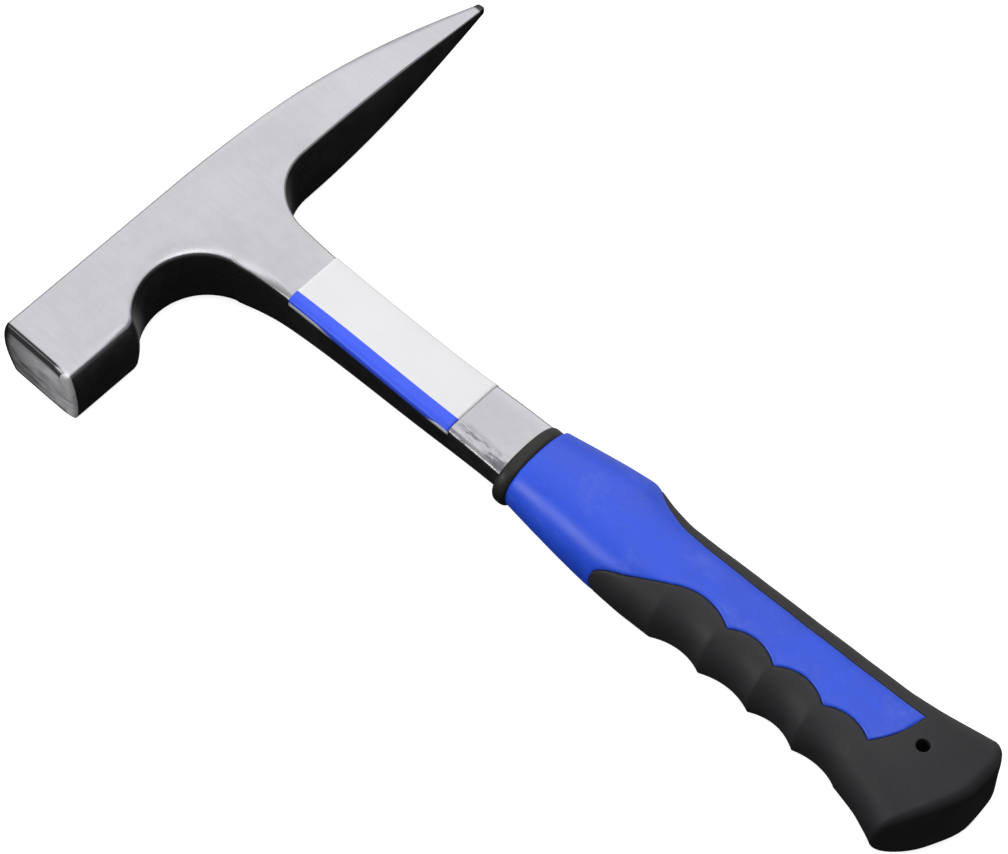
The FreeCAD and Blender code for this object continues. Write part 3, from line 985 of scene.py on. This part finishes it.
def steel_finish(s):
    """Satin forged steel: cloudy tone, fine polishing lines along the handle, a ground striking face with
    stain blotches over painted light and a painted dark line of shade round its bevel, scale left beside the
    collar and a dark tip."""
    f = Finish("forged_steel", Metallic=1.0, Specular_IOR_Level=0.5)
    cloud = f.group("grain", Coarse=38.0, Fine=240.0)
    lines = f.group("grain", Stretch=(0.06, 1.0, 1.0), Coarse=900.0, Fine=3600.0)
    rub = f.group("wear", Sharpness=0.53, Amount=0.6)
    specks = f.group("specks", Scale=170.0, Size=0.07, Share=0.10)
    base = tuple(s.steel_colour)
    tone = f.ramp(cloud.outputs["Tone"], 0.36, 0.64)
    colour = f.mix(tone, dimmed(base, 0.93), dimmed(base, 1.03))
    colour = f.mix(f.ramp(lines.outputs["Tone"], 0.35, 0.65, 0.0, 0.22), colour, dimmed(base, 0.82))
    colour = f.over(colour, specks.outputs["Mask"], 0.25, dimmed(base, 1.25))

    # ground striking face: stain blotches over painted light, pale at the poll's underside and painted shade
    # darkening it towards the top
    corner = f.ramp(f.x, at_x(POLL_UNDER_X + 0.6), at_x(POLL_UNDER_X + 3.2), 0.0016, 0.0)
    face = f.ramp(f.maths("ADD", f.y, corner), at_y(FACE_Y - 0.66), at_y(FACE_Y - 0.4))
    wire(f.tree, f.maths("MULTIPLY_ADD", face, -0.7, 1.0), f.shader.inputs["Metallic"])
    stain = f.group("grain", Stretch=(0.25, 1.0, 1.0), Coarse=150.0, Fine=700.0)
    # painted light and shade: the face is coloured pale at the poll's underside and dark at the top
    painted_face_light = f.ramp(f.x, at_x(POLL_UNDER_X - 1.0), at_x(TOP_X), 1.0, 0.0)
    blotch = f.ramp(stain.outputs["Tone"], 0.38, 0.62, -0.35, 0.35)
    stain_and_painted_light = f.maths("MULTIPLY_ADD", painted_face_light, 0.95, blotch, clamp=True)
    ground = f.mix(stain_and_painted_light, (0.10, 0.10, 0.105), (0.85, 0.85, 0.88))
    colour = f.mix(face, colour, ground)

    # painted shade: a dark line round the face's bevel, away from its lower corner
    bevel = f.maths("MULTIPLY", inside(f, f.y, at_y(FACE_Y - 2.1), at_y(FACE_Y - 0.8), 0.0002),
                    f.ramp(f.x, at_x(POLL_UNDER_X + 2.5), at_x(POLL_UNDER_X + 6.0)))
    colour = f.over(colour, bevel, 0.93, (0.01, 0.01, 0.012))

    # scale beside the collar, along the front edge of both cheeks
    near = inside(f, f.x, at_x(154.0), at_x(175.5), 0.0012)
    edge = f.ramp(f.y, at_y(2.2), at_y(6.4))
    blot = f.group("grain", Stretch=(0.28, 1.0, 1.0), Coarse=260.0, Fine=1100.0)
    scale = f.maths("MULTIPLY", f.maths("MULTIPLY", near, edge),
                    f.ramp(blot.outputs["Tone"], 0.44, 0.56))
    colour = f.over(colour, scale, 0.72, (0.05, 0.05, 0.06))

    # dark end of the pick
    tip = f.ramp(f.y, at_y(TIP_Y + 0.4), at_y(TIP_Y + 1.4), 1.0, 0.0)
    colour = f.over(colour, tip, 0.95, (0.02, 0.02, 0.022))
    colour = f.over(colour, rub.outputs["Mask"], 0.35, dimmed(base, 1.3))
    f.colour(colour)

    rough = f.maths("MULTIPLY_ADD", tone, 0.07, s.steel_roughness)
    rough = f.maths("ADD", rough, f.maths("MULTIPLY", lines.outputs["Tone"], 0.05))
    rough = f.maths("ADD", rough, f.maths("MULTIPLY", face, 0.16))
    rough = f.maths("ADD", rough, f.maths("MULTIPLY", scale, 0.14), clamp=True)
    f.roughness(rough)
    height = f.maths("ADD", f.maths("MULTIPLY", lines.outputs["Height"], 0.5),
                     f.maths("MULTIPLY", stain.outputs["Height"], face))
    f.bump(height, 0.000012, 0.5)
    return f.material


def plastic_finish(s):
    """Satin coloured plastic with a faint cloud, fine moulding texture and a few pale specks."""
    f = Finish("blue_plastic", Metallic=0.0, IOR=1.49, Specular_IOR_Level=0.42)
    base = tuple(s.blue_colour)
    cloud = f.group("grain", Coarse=55.0, Fine=1300.0)
    specks = f.group("specks", Scale=420.0, Size=0.10, Share=0.07)
    rub = f.group("wear", Sharpness=0.52, Amount=0.5)
    tone = f.ramp(cloud.outputs["Tone"], 0.38, 0.62)
    colour = f.mix(tone, dimmed(base, 0.92), dimmed(base, 1.06))
    scuff = f.group("grain", Stretch=(0.6, 1.0, 1.0), Coarse=75.0, Fine=620.0)
    scuffed = f.ramp(scuff.outputs["Tone"], 0.50, 0.66, 0.0, 0.16)
    colour = f.mix(scuffed, colour, (0.16, 0.24, 0.85))
    colour = f.over(colour, specks.outputs["Mask"], 0.16, (0.25, 0.34, 0.9))
    colour = f.over(colour, rub.outputs["Mask"], 0.12, (0.2, 0.3, 0.85))
    f.colour(colour)
    f.roughness(f.maths("MULTIPLY_ADD", tone, 0.08, s.blue_roughness))
    f.bump(cloud.outputs["Height"], 0.00002, 0.5)
    return f.material


def rubber_finish(name, base, rough_from):
    """Matt black rubber: pebbled moulding texture, a few pale specks, paler where it is rubbed."""
    f = Finish(name, Metallic=0.0, IOR=1.5, Specular_IOR_Level=0.27)
    cloud = f.group("grain", Coarse=70.0, Fine=1900.0)
    specks = f.group("specks", Scale=520.0, Size=0.11, Share=0.05)
    rub = f.group("wear", Sharpness=0.515, Amount=0.8)
    tone = f.ramp(cloud.outputs["Tone"], 0.38, 0.62)
    colour = f.mix(tone, dimmed(base, 0.88), dimmed(base, 1.12))
    # painted shade: the flared butt is coloured darker than the pad, fading out along the pad's first part
    butt = f.ramp(f.x, at_x(JOIN_X - 16.0), at_x(JOIN_X + 12.0), 0.45, 0.0)
    colour = f.mix(butt, colour, (0.006, 0.006, 0.009))
    colour = f.over(colour, rub.outputs["Mask"], 0.35, dimmed(base, 1.8))
    colour = f.over(colour, specks.outputs["Mask"], 0.3, dimmed(base, 2.4))
    f.colour(colour)
    f.roughness(f.maths("MULTIPLY_ADD", tone, 0.09, rough_from))
    f.bump(cloud.outputs["Height"], 0.00005, 0.6)
    return f.material


def vinyl_finish(s):
    """White film with a plain coloured band near its free edges and a white margin that shows at its ends."""
    f = Finish("label_vinyl", Metallic=0.0, IOR=1.46, Specular_IOR_Level=0.45)
    edge = node(f.tree, "ShaderNodeAttribute", attribute_name="from_edge").outputs["Fac"]
    cloud = f.group("grain", Coarse=45.0, Fine=1500.0)
    tone = f.ramp(cloud.outputs["Tone"], 0.38, 0.62)
    film = f.mix(tone, dimmed(s.film_colour, 0.97), tuple(s.film_colour))
    band = f.mix(tone, dimmed(s.band_colour, 0.9), dimmed(s.band_colour, 1.1))
    upper = f.ramp(f.x, at_x(LABEL_X[1] - 18.0), at_x(LABEL_X[1] - 10.0))
    lower = f.ramp(f.x, at_x(LABEL_X[0] + 4.0), at_x(LABEL_X[0] + 9.0), 1.0, 0.0)
    ends = f.maths("ADD", upper, lower, clamp=True)
    margin = f.maths("MULTIPLY", ends, s.margin * MM)
    past = f.maths("SUBTRACT", edge, margin)
    start = f.ramp(past, -0.00008, 0.00008)
    stop = f.ramp(edge, s.band_width * MM - 0.0001, s.band_width * MM + 0.0001, 1.0, 0.0)
    f.colour(f.mix(f.maths("MULTIPLY", start, stop), film, band))
    f.roughness(f.maths("MULTIPLY_ADD", tone, 0.08, 0.34))
    f.bump(cloud.outputs["Height"], 0.00001, 0.4)
    return f.material


def floor_finish(s):
    """Pale matt paper, faintly lit from within so that it stays even."""
    f = Finish("pale_floor", Roughness=0.9, Specular_IOR_Level=0.1)
    cloud = f.group("grain", Coarse=3.0, Fine=200.0)
    colour = f.mix(cloud.outputs["Tone"], dimmed(s.floor_colour, 0.99), tuple(s.floor_colour))
    f.colour(colour)
    f.shader.inputs["Emission Color"].default_value = (1, 1, 1, 1)
    f.shader.inputs["Emission Strength"].default_value = s.floor_glow
    return f.material


# ---------------------------------------------------------------- settings

class ForgingSettings(PropertyGroup):
    """Sizes and finish of the steel."""

    rim_width: FloatProperty(name="Rim width",
        description="Width of the soft rim under the poll and round the bay, mm", default=4.4, min=1, max=6)
    rim_drop: FloatProperty(name="Rim drop",
        description="Height of the soft rim, mm", default=0.85, min=0.4, max=3)
    wall_bulge: FloatProperty(name="Wall bulge",
        description="How far the walls of the bay and poll bow out, mm", default=1.2, min=0, max=2)
    top_crown: FloatProperty(name="Top crown",
        description="How far the top stands above its edges, mm", default=2.5, min=0, max=4)
    face_bevel: FloatProperty(name="Face bevel",
        description="Edge radius of the striking face, mm", default=1.9, min=0.5, max=3)
    face_dome: FloatProperty(name="Face dome",
        description="How far the striking face stands out in its middle, mm", default=0.6, min=0, max=2)
    steel_colour: FloatVectorProperty(name="Steel",
        description="Colour of the steel", subtype="COLOR", size=3, default=(0.355, 0.352, 0.372))
    steel_roughness: FloatProperty(name="Roughness",
        description="Roughness of the polished cheeks", default=0.24, min=0, max=1)


class GripSettings(PropertyGroup):
    """Sizes and finish of the grip and the collar."""

    step_height: FloatProperty(name="Step",
        description="How far the black stands above the parting line, mm", default=0.12, min=0, max=1)
    body_rise: FloatProperty(name="Body rise",
        description="How far the blue stands above the parting line, mm", default=0.25, min=0, max=1)
    step_width: FloatProperty(name="Step width",
        description="Width of the black's rounded edge, mm", default=0.9, min=0.2, max=2)
    parting_depth: FloatProperty(name="Parting",
        description="Depth of the line between the colours, mm", default=0.3, min=0, max=0.6)
    end_dish: FloatProperty(name="End dish",
        description="How far the butt's end is hollow, mm", default=0.5, min=0, max=2)
    wall: FloatProperty(name="Wall",
        description="Thickness of the mouldings, mm", default=1.6, min=0.5, max=3)
    blue_colour: FloatVectorProperty(name="Blue",
        description="Colour of the body", subtype="COLOR", size=3, default=(0.0165, 0.082, 0.76))
    blue_roughness: FloatProperty(name="Blue roughness",
        description="Roughness of the body", default=0.34, min=0, max=1)
    rubber_colour: FloatVectorProperty(name="Black",
        description="Colour of the over-moulding", subtype="COLOR", size=3, default=(0.022, 0.0215, 0.024))
    collar_colour: FloatVectorProperty(name="Collar",
        description="Colour of the collar", subtype="COLOR", size=3, default=(0.014, 0.0132, 0.0115))


class LabelSettings(PropertyGroup):
    """Sizes and colours of the neck label."""

    film: FloatProperty(name="Film",
        description="Thickness of the film, mm", default=0.2, min=0.05, max=0.5)
    band_width: FloatProperty(name="Band",
        description="Edge of the coloured band from the free edge, mm", default=6.7, min=1, max=12)
    margin: FloatProperty(name="Margin",
        description="White margin beyond the band at the ends, mm", default=1.7, min=0, max=3)
    film_colour: FloatVectorProperty(name="Film colour",
        description="Colour of the film", subtype="COLOR", size=3, default=(0.87, 0.87, 0.90))
    band_colour: FloatVectorProperty(name="Band colour",
        description="Colour of the band", subtype="COLOR", size=3, default=(0.04, 0.11, 0.98))


class StageSettings(PropertyGroup):
    """Camera, floor and lights."""

    target: FloatVectorProperty(name="Target",
        description="Point the camera looks at, in the frame", unit="LENGTH", size=3,
        default=(0.02587, 0.01135, 0.01413))
    toward: FloatVectorProperty(name="Direction",
        description="From the target towards the camera", size=3, default=(-0.350, 0.3675, 0.8616))
    distance: FloatProperty(name="Distance",
        description="From the camera to the target", unit="LENGTH", default=1.1)
    lens: FloatProperty(name="Lens",
        description="Focal length, mm", default=137.5)
    floor_colour: FloatVectorProperty(name="Floor",
        description="Colour of the floor", subtype="COLOR", size=3, default=(0.60, 0.60, 0.60))
    floor_glow: FloatProperty(name="Floor glow",
        description="Light given off by the floor", default=0.85, min=0)
    overhead: FloatProperty(name="Overhead light",
        description="Radiance of the large soft light", default=1.25, min=0)
    front: FloatProperty(name="Front light",
        description="Radiance of the smaller soft light over the camera", default=2.4, min=0)
    card: FloatProperty(name="Card",
        description="Pale card beyond the back of the handle, seen in reflections", default=0.5, min=0)
    room: FloatProperty(name="Room",
        description="Even light from all round", default=0.2, min=0)
    side: FloatProperty(name="Side light",
        description="Radiance of the low soft light beyond the striking face", default=10.0, min=0)


class HammerSettings(PropertyGroup):
    """Everything that can be set on the hammer."""

    forging: PointerProperty(type=ForgingSettings)
    grip: PointerProperty(type=GripSettings)
    label: PointerProperty(type=LabelSettings)
    stage: PointerProperty(type=StageSettings)


# ---------------------------------------------------------------- operators

class HAMMER_OT_forging(Operator):
    """Make the one-piece steel forging"""

    bl_idname = "rock_hammer.forging"
    bl_label = "Forging"

    def execute(self, context):
        s = context.scene.rock_hammer.forging
        piece = make_forging(s)
        settle(piece, steel_finish(s), "steel_forging")
        return {"FINISHED"}


class HAMMER_OT_grip(Operator):
    """Make the blue body, the black over-moulding and the collar"""

    bl_idname = "rock_hammer.grip"
    bl_label = "Grip"

    def execute(self, context):
        s = context.scene.rock_hammer.grip
        body = make_grip_body(s)
        settle(body, plastic_finish(s), "grip_body")
        black = make_overmould(s)
        rubber = rubber_finish("black_rubber", tuple(s.rubber_colour), 0.5)
        settle(black, rubber, "grip_overmould")
        for piece in (body, black):
            shell(piece, s.wall)
        ring = make_collar()
        settle(ring, rubber_finish("collar_rubber", tuple(s.collar_colour), 0.42), "collar")
        return {"FINISHED"}


class HAMMER_OT_core(Operator):
    """Give the hidden inner moulding its material"""

    bl_idname = "rock_hammer.core"
    bl_label = "Inner moulding"

    def execute(self, context):
        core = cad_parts["grip_core"]
        core.data.materials.clear()
        core.data.materials.append(rubber_finish("core_plastic", (0.11, 0.11, 0.115), 0.45))
        return {"FINISHED"}


class HAMMER_OT_label(Operator):
    """Make the film round the neck"""

    bl_idname = "rock_hammer.label"
    bl_label = "Neck label"

    def execute(self, context):
        settings = context.scene.rock_hammer
        piece = make_label(settings.label.film, settings.forging)
        settle(piece, vinyl_finish(settings.label), "neck_label")
        return {"FINISHED"}


# place and side of each square light, in metres
LIGHTS = {
    "overhead": ((0.50, -0.52, 1.15), 1.7),
    "front": ((-0.18, 0.20, 1.45), 0.8),
    "side": ((0.62, 0.86, 0.66), 0.4),
}
FLOOR_REACH = 6.0


def soft_light(name, place, aim, size, radiance):
    """A square area light whose power follows from its radiance: radiance times pi times area."""
    light = bpy.data.lights.new(name, "AREA")
    light.shape = "SQUARE"
    light.size = size
    light.energy = radiance * math.pi * size ** 2
    lamp = bpy.data.objects.new(name, light)
    lamp.location = place
    lamp.rotation_euler = (Vector(aim) - Vector(place)).to_track_quat("-Z", "Y").to_euler()
    lamp.visible_camera = False
    bpy.context.scene.collection.objects.link(lamp)


class HAMMER_OT_stage(Operator):
    """Make the floor, the lights and the camera"""

    bl_idname = "rock_hammer.stage"
    bl_label = "Stage"

    def execute(self, context):
        s = context.scene.rock_hammer.stage
        mesh = bpy.data.meshes.new("floor")
        ground = min(0.0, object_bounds()[0].z)
        signs = ((-1, -1), (1, -1), (1, 1), (-1, 1))
        corners = [(x * FLOOR_REACH, y * FLOOR_REACH, ground) for x, y in signs]
        mesh.from_pydata(corners, [], [(0, 1, 2, 3)])
        mesh.materials.append(floor_finish(s))
        floor = bpy.data.objects.new("floor", mesh)
        floor.visible_glossy = False
        floor.visible_diffuse = False
        context.scene.collection.objects.link(floor)
        floor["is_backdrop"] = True

        target = Vector(s.target)
        for name, (place, size) in LIGHTS.items():
            soft_light(name, place, target, size, getattr(s, name))

        world = bpy.data.worlds.new("studio")
        context.scene.world = world
        world.use_nodes = True
        tree = world.node_tree
        background = tree.nodes["Background"]
        background.inputs["Color"].default_value = (1, 1, 1, 1)
        # the room is pale above and dark below in reflections, and even for everything else
        path = node(tree, "ShaderNodeLightPath")
        direction = node(tree, "ShaderNodeSeparateXYZ")
        wire(tree, node(tree, "ShaderNodeTexCoord").outputs["Generated"], direction.inputs[0])
        above = ramp(tree, direction.outputs["Z"], -0.75, 0.35, 0.008, 0.45)
        beyond = maths(tree, "SUBTRACT", direction.outputs["X"], direction.outputs["Y"])
        mirrored = maths(tree, "ADD", above, ramp(tree, beyond, 0.5, 1.3, 0.0, s.card))
        seen = node(tree, "ShaderNodeMix", data_type="FLOAT")
        wire(tree, path.outputs["Is Glossy Ray"], seen.inputs["Factor"])
        seen.inputs[2].default_value = s.room
        wire(tree, mirrored, seen.inputs[3])
        wire(tree, seen.outputs[0], background.inputs["Strength"])

        data = bpy.data.cameras.new("camera")
        data.lens = s.lens
        data.sensor_width = 36.0
        data.clip_end = 50.0
        camera = bpy.data.objects.new("camera", data)
        camera.location = target + Vector(s.toward).normalized() * s.distance
        camera.rotation_euler = (target - camera.location).to_track_quat("-Z", "Y").to_euler()
        context.scene.collection.objects.link(camera)
        context.scene.camera = camera
        context.scene.view_settings.view_transform = "Standard"
        return {"FINISHED"}


class HAMMER_PT_panel(Panel):
    """Lists the hammer's pieces and their settings"""

    bl_label = "Rock hammer"
    bl_idname = "HAMMER_PT_panel"
    bl_space_type = "VIEW_3D"
    bl_region_type = "UI"
    bl_category = "Hammer"

    def draw(self, context):
        settings = context.scene.rock_hammer
        for operators, group in PANEL_ROWS:
            box = self.layout.box()
            for operator in operators:
                box.operator(operator.bl_idname)
            values = getattr(settings, group)
            for key in values.__annotations__:
                box.prop(values, key)


PANEL_ROWS = (
    ((HAMMER_OT_forging,), "forging"),
    ((HAMMER_OT_grip, HAMMER_OT_core), "grip"),
    ((HAMMER_OT_label,), "label"),
    ((HAMMER_OT_stage,), "stage"),
)
CLASSES = (
    ForgingSettings, GripSettings, LabelSettings, StageSettings, HammerSettings,
    HAMMER_OT_forging, HAMMER_OT_grip, HAMMER_OT_core, HAMMER_OT_label, HAMMER_OT_stage, HAMMER_PT_panel,
)


def register():
    for item in CLASSES:
        bpy.utils.register_class(item)
    bpy.types.Scene.rock_hammer = PointerProperty(type=HammerSettings)


def unregister():
    del bpy.types.Scene.rock_hammer
    for item in reversed(CLASSES):
        bpy.utils.unregister_class(item)


def main():
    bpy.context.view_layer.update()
    register()
    bpy.ops.rock_hammer.forging()
    bpy.ops.rock_hammer.grip()
    bpy.ops.rock_hammer.core()
    bpy.ops.rock_hammer.label()
    bpy.ops.rock_hammer.stage()


if __name__ == "__main__":
    main()
